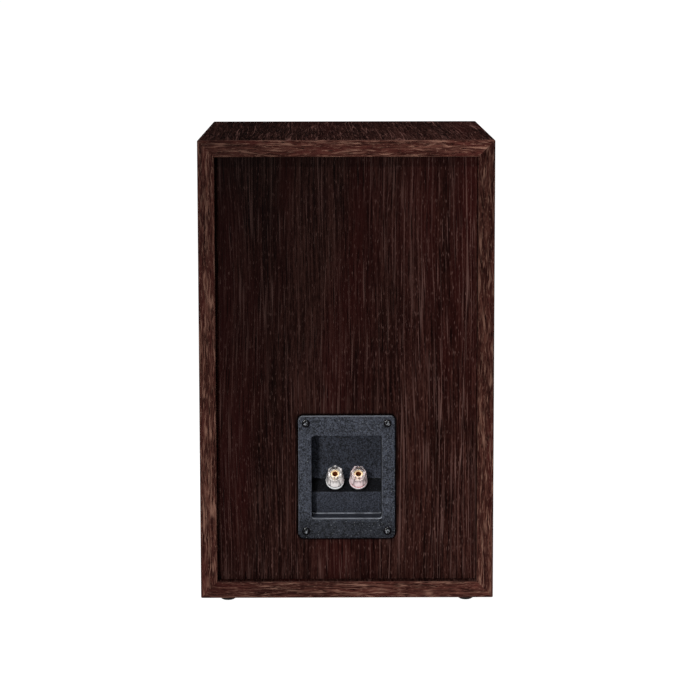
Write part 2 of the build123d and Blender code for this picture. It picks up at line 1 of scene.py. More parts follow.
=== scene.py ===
import bpy
import bmesh
import math
import random
from mathutils import Matrix, Vector
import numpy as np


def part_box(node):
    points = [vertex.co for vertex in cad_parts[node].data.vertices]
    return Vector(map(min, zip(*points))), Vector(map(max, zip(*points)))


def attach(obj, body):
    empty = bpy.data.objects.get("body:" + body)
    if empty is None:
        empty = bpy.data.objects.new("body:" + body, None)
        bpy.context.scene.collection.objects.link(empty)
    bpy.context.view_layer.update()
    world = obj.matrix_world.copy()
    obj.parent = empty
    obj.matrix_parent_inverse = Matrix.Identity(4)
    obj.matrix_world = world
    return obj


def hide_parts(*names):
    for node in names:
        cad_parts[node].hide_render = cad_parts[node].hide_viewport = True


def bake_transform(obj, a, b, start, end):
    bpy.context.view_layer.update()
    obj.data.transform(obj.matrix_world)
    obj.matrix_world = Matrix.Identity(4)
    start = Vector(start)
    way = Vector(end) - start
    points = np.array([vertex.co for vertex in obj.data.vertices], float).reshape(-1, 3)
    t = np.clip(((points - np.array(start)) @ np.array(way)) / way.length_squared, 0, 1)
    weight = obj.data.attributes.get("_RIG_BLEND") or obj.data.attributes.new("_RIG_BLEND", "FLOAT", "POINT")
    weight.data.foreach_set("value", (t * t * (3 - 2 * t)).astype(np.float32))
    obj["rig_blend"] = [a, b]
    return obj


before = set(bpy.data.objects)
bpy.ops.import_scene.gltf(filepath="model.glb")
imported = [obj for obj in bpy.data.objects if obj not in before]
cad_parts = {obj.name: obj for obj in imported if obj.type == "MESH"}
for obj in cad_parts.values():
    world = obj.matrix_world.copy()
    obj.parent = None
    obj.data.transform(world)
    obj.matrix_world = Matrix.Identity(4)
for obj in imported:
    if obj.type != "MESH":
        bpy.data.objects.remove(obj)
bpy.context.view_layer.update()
random.seed(11)
scene = bpy.context.scene
scene.view_settings.view_transform = "Standard"
scene.view_settings.look = "None"
scene.view_settings.exposure = 0.0
scene.view_settings.gamma = 1.0

# ------------------------------------------------------------------ camera
cam_data = bpy.data.cameras.new("camera")
cam_data.sensor_width = 36.0
cam_data.lens = 138.14
cam_data.clip_end = 50
cam = bpy.data.objects.new("camera", cam_data)
scene.collection.objects.link(cam)
RX, RY, RZ = 0.13446, -0.00584, -0.00231
R = (
    Matrix.Rotation(RZ, 3, "Z") @ Matrix.Rotation(RY, 3, "Y") @ Matrix.Rotation(RX, 3, "X")
)  # turns the fitted axes (right, down, away) to the camera's


def to_row(v):
    return Vector((-v[0], -v[2], -v[1]))


right, down, ahead = (to_row(R[i]) for i in range(3))
basis = Matrix((right, -down, -ahead)).transposed()
cam.matrix_world = Matrix.Translation((0.0088, 2.0436, 0.4449)) @ basis.to_4x4()
scene.camera = cam


# ------------------------------------------------------------------ node helpers
class Mat:
    """A small builder for procedural materials on one Principled shader."""

    def __init__(self, name):
        self.m = bpy.data.materials.new(name)
        self.m.use_nodes = True
        self.t = self.m.node_tree
        self.t.nodes.clear()
        self.out = self.t.nodes.new("ShaderNodeOutputMaterial")
        self.b = self.t.nodes.new("ShaderNodeBsdfPrincipled")
        self.t.links.new(self.b.outputs[0], self.out.inputs[0])
        self.tc = self.t.nodes.new("ShaderNodeTexCoord")
        self.pos = self.tc.outputs["Object"]
        self.nrm = self.tc.outputs["Normal"]

    def put(self, socket, value):
        if hasattr(value, "is_output"):
            self.t.links.new(value, socket)
        else:
            socket.default_value = value

    def set(self, **kw):
        names = {
            "color": "Base Color",
            "rough": "Roughness",
            "metal": "Metallic",
            "ior": "IOR",
            "spec": "Specular IOR Level",
            "trans": "Transmission Weight",
            "alpha": "Alpha",
            "normal": "Normal",
            "coat": "Coat Weight",
            "coat_rough": "Coat Roughness",
            "coat_ior": "Coat IOR",
            "sheen": "Sheen Weight",
            "sheen_rough": "Sheen Roughness",
            "sheen_tint": "Sheen Tint",
            "sub": "Subsurface Weight",
            "sub_scale": "Subsurface Scale",
            "aniso": "Anisotropic",
        }
        for k, v in kw.items():
            self.put(self.b.inputs[names[k]], v)
        return self

    def xyz(self, v=None):
        n = self.t.nodes.new("ShaderNodeSeparateXYZ")
        self.put(n.inputs[0], self.pos if v is None else v)
        return n.outputs[0], n.outputs[1], n.outputs[2]

    def vec(self, x, y, z):
        n = self.t.nodes.new("ShaderNodeCombineXYZ")
        for i, v in enumerate((x, y, z)):
            self.put(n.inputs[i], v)
        return n.outputs[0]

    def math(self, op, a, b=0.0, c=0.0, clamp=False):
        n = self.t.nodes.new("ShaderNodeMath")
        n.operation = op
        n.use_clamp = clamp
        self.put(n.inputs[0], a)
        self.put(n.inputs[1], b)
        if len(n.inputs) > 2:
            self.put(n.inputs[2], c)
        return n.outputs[0]

    def noise(self, v, scale=1.0, detail=2.0, rough=0.5, distort=0.0, w=None):
        n = self.t.nodes.new("ShaderNodeTexNoise")
        if w is not None:
            n.noise_dimensions = "4D"
            n.inputs["W"].default_value = w
        self.put(n.inputs["Vector"], v)
        n.inputs["Scale"].default_value = scale
        n.inputs["Detail"].default_value = detail
        n.inputs["Roughness"].default_value = rough
        n.inputs["Distortion"].default_value = distort
        return n.outputs["Fac"]

    def voronoi(self, v, scale, feature="F1", rand=1.0, out="Distance"):
        n = self.t.nodes.new("ShaderNodeTexVoronoi")
        n.feature = feature
        self.put(n.inputs["Vector"], v)
        n.inputs["Scale"].default_value = scale
        n.inputs["Randomness"].default_value = rand
        return n.outputs[out]

    def ramp(self, fac, stops, smooth=False):
        n = self.t.nodes.new("ShaderNodeValToRGB")
        if smooth:
            n.color_ramp.interpolation = "EASE"
        e = n.color_ramp.elements
        while len(e) < len(stops):
            e.new(0.5)
        for el, (p, c) in zip(e, stops):
            el.position = p
            el.color = (c, c, c, 1) if isinstance(c, (int, float)) else (*c[:3], 1)
        self.put(n.inputs[0], fac)
        return n.outputs[0]

    def step(self, fac, lo, hi, a=0.0, b=1.0):
        n = self.t.nodes.new("ShaderNodeMapRange")
        n.interpolation_type = "SMOOTHSTEP"
        self.put(n.inputs["Value"], fac)
        n.inputs["From Min"].default_value = lo
        n.inputs["From Max"].default_value = hi
        n.inputs["To Min"].default_value = a
        n.inputs["To Max"].default_value = b
        return n.outputs["Result"]

    def mix(self, fac, a, b, mode="MIX"):
        n = self.t.nodes.new("ShaderNodeMix")
        n.data_type = "RGBA"
        n.blend_type = mode
        n.clamp_result = False
        self.put(n.inputs[0], fac)
        for s, v in ((n.inputs[6], a), (n.inputs[7], b)):
            if isinstance(v, tuple):
                v = (*v[:3], 1)
            elif isinstance(v, (int, float)):
                v = (v, v, v, 1)
            self.put(s, v)
        return n.outputs[2]

    def bump(self, height, strength=0.5, dist=0.0005, normal=None):
        n = self.t.nodes.new("ShaderNodeBump")
        n.inputs["Strength"].default_value = strength
        n.inputs["Distance"].default_value = dist
        self.put(n.inputs["Height"], height)
        if normal is not None:
            self.put(n.inputs["Normal"], normal)
        return n.outputs[0]


def lin(r, g, b):
    """sRGB 0-255 to linear."""
    return tuple(
        (c / 255 / 12.92) if c / 255 <= 0.04045 else ((c / 255 + 0.055) / 1.055) ** 2.4
        for c in (r, g, b)
    )


# ------------------------------------------------------------------ veneer
def grain(g, across, along, depth, seed):
    """Long streaks, thin lines, specks and reddish zones of a printed walnut foil. Inputs in metres."""
    sway = g.noise(
        g.vec(g.math("MULTIPLY", across, 9.0), g.math("MULTIPLY", along, 3.0), g.math("MULTIPLY", depth, 5.0)),
        1.0, 2.0, 0.5, 0.0, seed,
    )
    u = g.math("MULTIPLY_ADD", g.math("SUBTRACT", sway, 0.5), 0.022, across)

    def layer(su, sv, detail, off, rough=0.55):
        return g.noise(
            g.vec(g.math("MULTIPLY", u, su), g.math("MULTIPLY", along, sv), g.math("MULTIPLY", depth, 7.0)),
            1.0, detail, rough, 0.0, seed + off,
        )

    f = dict(
        broad=layer(38.0, 1.6, 2.0, 11), mid=layer(470.0, 9.0, 2.0, 17), fine=layer(880.0, 22.0, 2.0, 23),
        fleck=layer(950.0, 24.0, 1.0, 31), fleck2=layer(1300.0, 210.0, 1.0, 37), pore=layer(1050.0, 34.0, 1.0, 41),
        red=layer(26.0, 3.0, 2.0, 59), hair=layer(1100.0, 190.0, 2.0, 67, 0.7),
    )
    ridge = g.math("ABSOLUTE", g.math("SUBTRACT", layer(190.0, 2.6, 1.0, 47), 0.5))
    line = g.step(ridge, 0.0, 0.02, 1.0, 0.0)
    f["line"] = g.math("MULTIPLY", line, g.step(layer(90.0, 9.0, 1.0, 53), 0.42, 0.62))
    return f


def curl(g, across, along, depth, seed):
    """Short wavy streaks and mottle of the foil on the narrow board edges."""
    w = g.noise(
        g.vec(g.math("MULTIPLY", across, 160.0), g.math("MULTIPLY", along, 75.0), depth), 1.0, 2.0, 0.55, 0.0, seed
    )
    w2 = g.noise(
        g.vec(g.math("MULTIPLY", across, 40.0), g.math("MULTIPLY", along, 14.0), depth), 1.0, 1.0, 0.5, 0.0, seed + 2
    )
    u = g.math("MULTIPLY_ADD", g.math("SUBTRACT", w, 0.5), 0.0030, across)
    u = g.math("MULTIPLY_ADD", g.math("SUBTRACT", w2, 0.5), 0.005, u)

    def layer(su, sv, detail, off, rough=0.6):
        return g.noise(
            g.vec(g.math("MULTIPLY", u, su), g.math("MULTIPLY", along, sv), g.math("MULTIPLY", depth, 7.0)),
            1.0, detail, rough, 0.0, seed + off,
        )

    return dict(
        broad=layer(210.0, 16.0, 2.0, 11), mid=layer(520.0, 30.0, 2.0, 17), fine=layer(1000.0, 90.0, 2.0, 23),
        fleck=layer(1000.0, 90.0, 1.0, 31), fleck2=layer(1400.0, 330.0, 1.0, 37), pore=layer(1200.0, 150.0, 1.0, 41),
        red=layer(120.0, 10.0, 2.0, 59), hair=layer(1500.0, 120.0, 2.0, 67, 0.7),
        line=g.math("MULTIPLY", g.step(g.math("ABSOLUTE", g.math("SUBTRACT", layer(330.0, 16.0, 1.0, 47), 0.5)), 0.0, 0.05, 1.0, 0.0),
                    g.step(layer(200.0, 50.0, 1.0, 53), 0.42, 0.6)),
    )


def veneer_colour(g, f, dark, mid, light, red, pale, gain, flecks, weights, first):
    tone = g.math("MULTIPLY_ADD", f["broad"], weights[0], g.math("MULTIPLY", f["mid"], weights[1]))
    tone = g.math("MULTIPLY_ADD", f["fine"], weights[2], tone)
    tone = g.math("MULTIPLY_ADD", g.math("SUBTRACT", tone, sum(weights) / 2), gain, 0.5)
    tone = g.math("MULTIPLY_ADD", g.math("SUBTRACT", f["hair"], 0.5), 1.5, tone)
    col = g.ramp(tone, [(0.02, dark), (0.5, mid), (0.98, light)])
    col = g.mix(g.step(f["red"], 0.46, 0.7, 0.0, 0.6), col, red)
    bright = g.math("MULTIPLY", g.step(f["fleck"], first, first + 0.16), flecks[0])
    bright = g.math("MAXIMUM", bright, g.math("MULTIPLY", g.step(f["fleck2"], first + 0.02, first + 0.17), flecks[1]))
    bright = g.math("MAXIMUM", bright, g.math("MULTIPLY", f["line"], flecks[2]))
    col = g.mix(bright, col, pale)
    hole = g.step(f["pore"], 0.56, 0.7, 0.0, 0.8)
    col = g.mix(hole, col, tuple(x * 0.4 for x in dark))
    height = g.math("SUBTRACT", g.math("MULTIPLY", f["fine"], 0.5), g.math("MULTIPLY", hole, 0.6))
    height = g.math("MULTIPLY_ADD", f["mid"], 0.3, height)
    return col, height, hole


V = dict(dark=(0.0042, 0.0011, 0.0008), mid=(0.0132, 0.0037, 0.0028), light=(0.037, 0.0140, 0.0108),
         red=(0.027, 0.0046, 0.0040), pale=(0.112, 0.058, 0.049), gain=2.75, flecks=(0.55, 0.6, 0.66),
         weights=(0.45, 0.35, 0.75), first=0.575)
E = dict(dark=(0.018, 0.0050, 0.0038), mid=(0.056, 0.0172, 0.0130), light=(0.125, 0.046, 0.033),
         red=(0.092, 0.0200, 0.0165), pale=(0.285, 0.145, 0.104), gain=3.0, flecks=(0.85, 0.62, 0.95),
         weights=(0.35, 0.55, 0.7), first=0.565)


def veneer(name, main, rim, seed, tone=None, rim_painted_light=(0.72, 0.17, -0.05, 0.0, 0.0), plate=None, look=None):
    """main and rim give (across, along, depth) as letters of the object's axes. tone is painted light, a brightness
    gradient over the cabinet: (middle, slope in X, slope in Z, X times Z, X squared); the rim gradient does the same on
    the board edges. plate is the outline (half width, half height, corner, centre height) of a fitting with a painted
    shadow line round it."""
    g = Mat(name)
    x, y, z = g.xyz()
    ax = {"x": x, "y": y, "z": z}
    f = grain(g, ax[main[0]], ax[main[1]], ax[main[2]], seed)
    col, height, hole = veneer_colour(g, f, **(look or V))
    rough = g.math("MULTIPLY_ADD", f["mid"], 0.16, 0.4)
    X = g.math("MULTIPLY", x, -1 / 0.1)
    Z = g.math("MULTIPLY_ADD", z, 1 / 0.16, -0.171 / 0.16)

    # painted light: multiplies the colour by a brightness gradient over the cabinet
    def shade(c, k):
        t = g.math("MULTIPLY_ADD", X, k[1], k[0])
        t = g.math("MULTIPLY_ADD", Z, k[2], t)
        t = g.math("MULTIPLY_ADD", g.math("MULTIPLY", X, Z), k[3], t)
        t = g.math("MULTIPLY_ADD", g.math("MULTIPLY", X, X), k[4], t)
        t = g.math("MAXIMUM", t, 0.3)
        return g.mix(1.0, c, g.vec(t, t, t), "MULTIPLY")

    if tone:
        col = shade(col, tone)
    if rim:
        nx, ny, nz = g.xyz(g.nrm)
        on_rim = g.step(g.math("ABSOLUTE", ny), 0.45, 0.8)
        fr = curl(g, ax[rim[0]], ax[rim[1]], ax[rim[2]], seed + 100)
        col_r, height_r, hole_r = veneer_colour(g, fr, **E)
        # painted highlight: the bevels are drawn paler, broken up by noise
        bevel = g.math("MULTIPLY", g.step(g.math("ABSOLUTE", ny), 0.3, 0.6), g.step(g.math("ABSOLUTE", ny), 0.99, 0.85))
        patchy_highlight = g.math("MULTIPLY", bevel, g.step(g.noise(g.pos, 90.0, 3.0, 0.6), 0.4, 0.7, 0.1, 0.8))
        col_r = g.mix(patchy_highlight, col_r, (0.13, 0.062, 0.048))
        col_r = shade(col_r, rim_painted_light)
        col = g.mix(on_rim, col, col_r)
        height = g.mix(on_rim, height, height_r)
    if plate:
        hw, hh, rc, zc = plate
        qx = g.math("MAXIMUM", g.math("SUBTRACT", g.math("ABSOLUTE", x), hw - rc), 0.0)
        qz = g.math("MAXIMUM", g.math("SUBTRACT", g.math("ABSOLUTE", g.math("SUBTRACT", z, zc)), hh - rc), 0.0)
        out = g.math("SUBTRACT", g.math("SQRT", g.math("ADD", g.math("MULTIPLY", qx, qx), g.math("MULTIPLY", qz, qz))), rc)
        # painted shadow: a dark line drawn just outside the terminal plate's outline
        line = g.step(out, 0.0007, 0.0022, 0.14, 1.0)
        col = g.mix(1.0, col, g.vec(line, line, line), "MULTIPLY")
    # faint handling marks in the sheen
    smear = g.noise(g.pos, 14.0, 3.0, 0.6)
    rough = g.math("MULTIPLY_ADD", g.math("SUBTRACT", smear, 0.5), 0.14, rough)
    g.set(color=col, rough=rough, spec=0.016, normal=g.bump(height, 0.35, 0.00025))
    return g.m


# ------------------------------------------------------------------ other finishes
def cup_plastic(name, front_y):
    """Spark-textured moulding with a coarse grain. Painted shade darkens the recess, its side walls, the smooth seat
    under the posts and the bottom of the plate; painted glints speck the plate, and painted highlights pale its fillets
    and edges."""
    g = Mat(name)
    x, y, z = g.xyz()
    nx, ny, nz = g.xyz(g.nrm)
    n1 = g.noise(g.pos, 1150.0, 1.0, 0.6)
    n2 = g.noise(g.pos, 360.0, 2.0, 0.6)
    pit = g.voronoi(g.pos, 900.0)
    n3 = g.noise(g.pos, 22.0, 3.0, 0.5)
    tone = g.math("MULTIPLY_ADD", g.math("SUBTRACT", n1, 0.5), 5.2, 1.07)
    tone = g.math("MULTIPLY_ADD", g.math("SUBTRACT", n2, 0.5), 2.0, tone)
    tone = g.math("MULTIPLY_ADD", g.math("SUBTRACT", n3, 0.5), 0.35, tone)
    # painted glints: pale specks over the plate, fewer in the recess
    glint_specks = g.step(g.noise(g.pos, 1000.0, 0.0, 0.5, 0.0, 4.0), 0.68, 0.78, 0.0, 0.75)
    tone = g.math("MAXIMUM", tone, 0.2)
    # painted shade: the recess, the bottom of the plate, the seat under the posts and the recess's side walls are drawn
    # darker
    deep = g.step(y, front_y - 0.0035, front_y - 0.0016, 1.0, 0.0)
    tone = g.math("MULTIPLY", tone, g.math("MULTIPLY_ADD", deep, -0.22, 1.0))
    lower_painted_shade = g.step(z, 0.058, 0.068, 0.46, 1.0)
    tone = g.math("MULTIPLY", tone, lower_painted_shade)
    seat = g.math("MULTIPLY", g.math("MULTIPLY", deep, g.step(nz, 0.35, 0.5)), g.step(nz, 0.85, 0.75))
    tone = g.math("MULTIPLY", tone, g.math("MULTIPLY_ADD", seat, -0.86, 1.0))
    wall = g.math("MULTIPLY", deep, g.step(g.math("ABSOLUTE", nx), 0.4, 0.8))
    tone = g.math("MULTIPLY", tone, g.math("MULTIPLY_ADD", wall, -0.85, 1.0))
    col = g.mix(1.0, (0.0305, 0.0338, 0.0445), g.vec(tone, tone, tone), "MULTIPLY")
    # painted shade: the recess is drawn a little bluer
    col = g.mix(deep, col, g.mix(1.0, col, (0.97, 0.99, 1.05), "MULTIPLY"))
    col = g.mix(g.math("MULTIPLY", glint_specks, g.math("MULTIPLY_ADD", deep, -0.8, 1.0)), col, (0.155, 0.165, 0.175))
    # fillets come out of the mould smooth; the pale lines on the bottom fillets and on the plate's edges facing up and
    # towards +X are painted highlights, broken up by noise
    fillet = g.step(g.math("MINIMUM", ny, nz), 0.22, 0.42)
    low_fillet_highlight = g.math("MULTIPLY", fillet, g.step(z, 0.0735, 0.0715))
    patchy_highlight = g.step(g.noise(g.pos, 260.0, 3.0, 0.6), 0.3, 0.6, 0.45, 1.0)
    side_edge = g.math("MULTIPLY", g.step(ny, 0.96, 0.8), g.math("SUBTRACT", 1.0, deep))
    lit_edge_highlight = g.math("MULTIPLY", side_edge, g.step(g.math("MULTIPLY_ADD", nx, 0.6, nz), 0.1, 0.6))
    edge = g.math("MAXIMUM", g.math("MULTIPLY", low_fillet_highlight, 0.95), g.math("MULTIPLY", lit_edge_highlight, 0.5))
    edge = g.math("MULTIPLY", edge, patchy_highlight)
    col = g.mix(edge, col, (0.235, 0.25, 0.285))
    h = g.math("MULTIPLY_ADD", n2, 0.6, g.math("SUBTRACT", n1, g.math("MULTIPLY", pit, 0.25)))
    h = g.math("MULTIPLY", h, g.math("MULTIPLY_ADD", fillet, -0.6, 1.0))
    h = g.math("MULTIPLY", h, g.math("MULTIPLY_ADD", seat, -0.85, 1.0))
    rough = g.math("MULTIPLY_ADD", g.math("MAXIMUM", seat, wall), 0.5, g.math("MULTIPLY_ADD", g.math("SUBTRACT", n3, 0.5), 0.14, 0.36))
    g.set(color=col, rough=rough, spec=0.18, normal=g.bump(h, 0.5, 0.00012))
    return g.m


AXIS = Vector((0, 0.7682212795973759, 0.6401843996644798))
SEAT = Vector((0.0085, 0.11275, 0.0843))


def post_coords(g):
    """Radius from the nearer post's axis, height along it from the seat, and the angle round it."""
    x, y, z = g.xyz()
    px = g.math("SUBTRACT", g.math("ABSOLUTE", x), SEAT.x)
    py, pz = g.math("SUBTRACT", y, SEAT.y), g.math("SUBTRACT", z, SEAT.z)
    h = g.math("ADD", g.math("MULTIPLY", py, AXIS.y), g.math("MULTIPLY", pz, AXIS.z))
    v = g.math("SUBTRACT", g.math("MULTIPLY", pz, AXIS.y), g.math("MULTIPLY", py, AXIS.z))
    r = g.math("SQRT", g.math("ADD", g.math("MULTIPLY", px, px), g.math("MULTIPLY", v, v)))
    return r, h, g.math("ARCTAN2", v, px)


def milky(name, tint, cloud):
    """Clear moulded plastic, slightly cloudy, with flow lines down the grip and fine polishing marks; painted shade
    darkens the flow lines, and painted highlights pale the flange and the top rim.
    """
    g = Mat(name)
    r, h, a = post_coords(g)
    p = g.noise(g.pos, 420.0, 3.0, 0.6)
    fine = g.noise(g.pos, 2600.0, 2.0, 0.6)
    flow = g.noise(
        g.vec(g.math("MULTIPLY", g.math("SINE", a), 1.7), g.math("MULTIPLY", g.math("COSINE", a), 1.7), g.math("MULTIPLY", h, 60.0)),
        1.6, 1.0, 0.5,
    )
    # painted shade: the flow lines are drawn dark, standing in for the dark recess seen through the clear plastic
    col = g.mix(g.step(flow, 0.36, 0.5), tuple(c * 0.28 for c in tint), tint)
    # painted highlight: the flange is drawn paler and near-opaque
    flange = g.step(h, 0.0078, 0.0071)
    col = g.mix(flange, col, tuple(min(1.0, c * 1.1) for c in tint))
    body = g.step(h, 0.0105, 0.0170, cloud[0], cloud[1])
    al = g.math("MULTIPLY_ADD", g.math("SUBTRACT", flow, 0.47), 1.6, body)
    # painted highlight: a near-opaque pale rim round the top end
    al = g.math("MAXIMUM", al, g.math("MULTIPLY", g.math("MULTIPLY", g.step(h, 0.0189, 0.0194), g.step(r, 0.0042, 0.0046)), 0.8))
    al = g.math("MAXIMUM", al, g.math("MULTIPLY", flange, 0.95))
    al = g.math("MINIMUM", g.math("MAXIMUM", al, 0.14), 0.96)
    g.set(
        color=col, rough=g.math("MULTIPLY_ADD", fine, 0.06, 0.05), ior=1.49, spec=0.5, alpha=al,
        coat=0.5, coat_rough=0.04, normal=g.bump(g.math("MULTIPLY_ADD", flow, 1.0, g.math("MULTIPLY", p, 0.12)), 0.3, 0.0004),
    )
    return g.m


def plated(name, color, bore):
    """Gold-plated post: satin tip, and a darker, warmer bore whose brown is a painted reflection of light bounced round
    inside the gold.
    """
    g = Mat(name)
    r, h, a = post_coords(g)
    big = g.noise(g.pos, 300.0, 3.0, 0.6)
    turned_marks = g.math("MULTIPLY_ADD", g.math("SINE", g.math("MULTIPLY", r, 2 * math.pi / 0.00022)), 0.5, 0.5)
    tone = g.step(big, 0.3, 0.7, 0.86, 1.1)
    col = g.mix(1.0, color, g.vec(tone, tone, tone), "MULTIPLY")
    # painted reflection: the bore is drawn brown and less metallic, for the light bounced round inside it
    inside = g.math("MULTIPLY", g.step(r, 0.00212, 0.00204), g.step(h, 0.0163, 0.0156))
    col = g.mix(inside, col, bore)
    g.set(
        color=col, metal=g.math("MULTIPLY_ADD", inside, -0.75, 1.0),
        rough=g.math("MULTIPLY_ADD", inside, 0.15, g.math("MULTIPLY_ADD", big, 0.14, 0.36)),
        normal=g.bump(turned_marks, 0.1, 0.00005),
    )
    return g.m


def moulded(name, color, grain_mm=0.55, contrast=0.25, rough=0.5, bump=0.35, spec=0.35):
    g = Mat(name)
    n1 = g.noise(g.pos, 1000.0 / grain_mm, 2.0, 0.6)
    n2 = g.noise(g.pos, 260.0 / grain_mm, 2.0, 0.5)
    n3 = g.noise(g.pos, 18.0, 3.0, 0.5)
    tone = g.math("MULTIPLY_ADD", g.math("SUBTRACT", n1, 0.5), 2.0 * contrast, 1.0)
    tone = g.math("MULTIPLY_ADD", g.math("SUBTRACT", n2, 0.5), 1.2 * contrast, tone)
    tone = g.math("MULTIPLY_ADD", g.math("SUBTRACT", n3, 0.5), 0.35 * contrast, tone)
    col = g.mix(1.0, color, g.vec(tone, tone, tone), "MULTIPLY")
    rr = g.math("MULTIPLY_ADD", g.math("SUBTRACT", n3, 0.5), 0.18, rough)
    h = g.math("MULTIPLY_ADD", n2, 0.5, n1)
    g.set(color=col, rough=rr, spec=spec, normal=g.bump(h, bump, 0.00012))
    return g.m


def metal(name, color, rough=0.22, scratch=0.12, scale=900.0, wear=(0.9, 1.1)):
    g = Mat(name)
    x, y, z = g.xyz()
    s = g.noise(g.vec(g.math("MULTIPLY", x, 3.0), g.math("MULTIPLY", y, 3.0), z), scale, 2.0, 0.6)
    big = g.noise(g.pos, 120.0, 3.0, 0.6)
    tone = g.step(big, 0.3, 0.7, wear[0], wear[1])
    col = g.mix(1.0, color, g.vec(tone, tone, tone), "MULTIPLY")
    rr = g.math("MULTIPLY_ADD", s, scratch, rough)
    rr = g.math("MULTIPLY_ADD", g.math("SUBTRACT", big, 0.5), 0.12, rr)
    g.set(color=col, metal=1.0, rough=rr, normal=g.bump(s, 0.12, 0.00005))
    return g.m


def painted(name, color, rough=0.45, peel=0.15, spec=0.45):
    g = Mat(name)
    p = g.noise(g.pos, 1400.0, 2.0, 0.5)
    big = g.noise(g.pos, 30.0, 3.0, 0.6)
    tone = g.step(big, 0.25, 0.75, 0.82, 1.18)
    col = g.mix(1.0, color, g.vec(tone, tone, tone), "MULTIPLY")
    g.set(
        color=col, rough=g.math("MULTIPLY_ADD", big, 0.16, rough - 0.08), spec=spec,
        normal=g.bump(p, peel, 0.0001),
    )
    return g.m


def screw_black(name, cx, cz, pz):
    """Blacked steel, with bright marks where the driver sits: metal rubbed clean, and painted glints. Heads at x =
    +-cx, z = pz +- cz.
    """
    g = Mat(name)
    x, y, z = g.xyz()
    dx = g.math("SUBTRACT", g.math("ABSOLUTE", x), cx)
    dz = g.math("SUBTRACT", g.math("ABSOLUTE", g.math("SUBTRACT", z, pz)), cz)
    r = g.math("SQRT", g.math("ADD", g.math("MULTIPLY", dx, dx), g.math("MULTIPLY", dz, dz)))
    mark = g.step(g.noise(g.pos, 900.0, 2.0, 0.6, 0.0, 2.0), 0.5, 0.6)
    # painted glints as well as wear: pale specks near the centre of each head
    wear_and_glint = g.math("MULTIPLY", mark, g.step(r, 0.00185, 0.0012))
    big = g.noise(g.pos, 160.0, 3.0, 0.6)
    col = g.mix(g.step(big, 0.25, 0.75), (0.0024, 0.0024, 0.003), (0.0045, 0.0045, 0.0052))
    col = g.mix(wear_and_glint, col, (0.46, 0.48, 0.52))
    g.set(
        color=col, metal=g.math("MULTIPLY", wear_and_glint, 0.35), rough=g.math("MULTIPLY_ADD", wear_and_glint, 0.25, g.math("MULTIPLY_ADD", big, 0.1, 0.12)),
        spec=0.5, normal=g.bump(big, 0.08, 0.0001),
    )
    return g.m


def rubber(name, color, rough=0.7):
    g = Mat(name)
    p = g.noise(g.pos, 2200.0, 2.0, 0.6)
    dust = g.noise(g.pos, 240.0, 4.0, 0.65)
    col = g.mix(g.step(dust, 0.5, 0.8, 0.0, 0.35), color, tuple(c * 2.2 + 0.01 for c in color))
    g.set(color=col, rough=g.math("MULTIPLY_ADD", dust, 0.2, rough - 0.1), spec=0.3, normal=g.bump(p, 0.25, 0.0001))
    return g.m


def clear(name, tint, rough=0.04, ior=1.49):
    g = Mat(name)
    p = g.noise(g.pos, 500.0, 3.0, 0.6)
    fine = g.noise(g.pos, 2600.0, 2.0, 0.6)
    col = g.mix(g.step(p, 0.3, 0.7), tint, tuple(min(1.0, c * 1.02) * 0.97 for c in tint))
    g.set(
        color=col, rough=g.math("MULTIPLY_ADD", fine, 0.06, rough - 0.02), trans=1.0, ior=ior, spec=0.5,
        normal=g.bump(p, 0.12, 0.0003),
    )
    return g.m


def cloth(name, color, pitch=0.0009, fuzz=0.3, depth=0.9, sheen=0.25, plane="xz"):
    """Knitted or woven cloth, two crossing sets of rounded threads."""
    g = Mat(name)
    x, y, z = g.xyz()
    ax = {"x": x, "y": y, "z": z}
    k = 2 * math.pi / pitch
    wob = g.noise(g.pos, 260.0, 2.0, 0.5)
    a = g.math("MULTIPLY_ADD", ax[plane[0]], k, g.math("MULTIPLY", wob, 1.6))
    b = g.math("MULTIPLY_ADD", ax[plane[1]], k, g.math("MULTIPLY", wob, -1.3))
    s1 = g.math("MULTIPLY_ADD", g.math("SINE", a), 0.5, 0.5)
    s2 = g.math("MULTIPLY_ADD", g.math("SINE", b), 0.5, 0.5)
    over = g.math("MULTIPLY_ADD", g.math("SINE", g.math("MULTIPLY_ADD", g.math("ADD", a, b), 0.5, 0.0)), 0.5, 0.5)
    weave = g.math("MAXIMUM", g.math("MULTIPLY", s1, over), g.math("MULTIPLY", s2, g.math("SUBTRACT", 1.0, over)))
    fz = g.noise(g.pos, 3200.0, 2.0, 0.7)
    h = g.math("MULTIPLY_ADD", g.math("SUBTRACT", fz, 0.5), fuzz, weave)
    mot = g.noise(g.pos, 90.0, 3.0, 0.6)
    shade = g.math("MULTIPLY_ADD", h, 0.9, g.math("MULTIPLY_ADD", g.math("SUBTRACT", mot, 0.5), 0.35, 0.5))
    col = g.mix(1.0, color, g.vec(shade, shade, shade), "MULTIPLY")
    g.set(color=col, rough=g.step(h, 0.0, 1.0, 0.95, 0.75), spec=0.2, sheen=sheen, sheen_rough=0.45, normal=g.bump(h, depth, 0.0003))
    return g.m


def wound(name, color, x0, z0, pitch=0.0006):
    """Enamelled wire wound about an axis along Y."""
    g = Mat(name)
    x, y, z = g.xyz()
    dx, dz = g.math("SUBTRACT", x, x0), g.math("SUBTRACT", z, z0)
    r = g.math("SQRT", g.math("ADD", g.math("MULTIPLY", dx, dx), g.math("MULTIPLY", dz, dz)))
    t = g.math("MULTIPLY", g.math("ADD", r, y), 2 * math.pi / pitch)
    s = g.math("MULTIPLY_ADD", g.math("SINE", t), 0.5, 0.5)
    n = g.noise(g.pos, 200.0, 2.0, 0.5)
    # painted shade in the grooves between the turns
    col = g.mix(s, tuple(c * 0.45 for c in color), color)
    col = g.mix(g.step(n, 0.4, 0.8, 0.0, 0.4), col, tuple(c * 0.7 for c in color))
    g.set(color=col, metal=0.85, rough=g.math("MULTIPLY_ADD", n, 0.2, 0.2), normal=g.bump(s, 0.6, 0.0002))
    return g.m


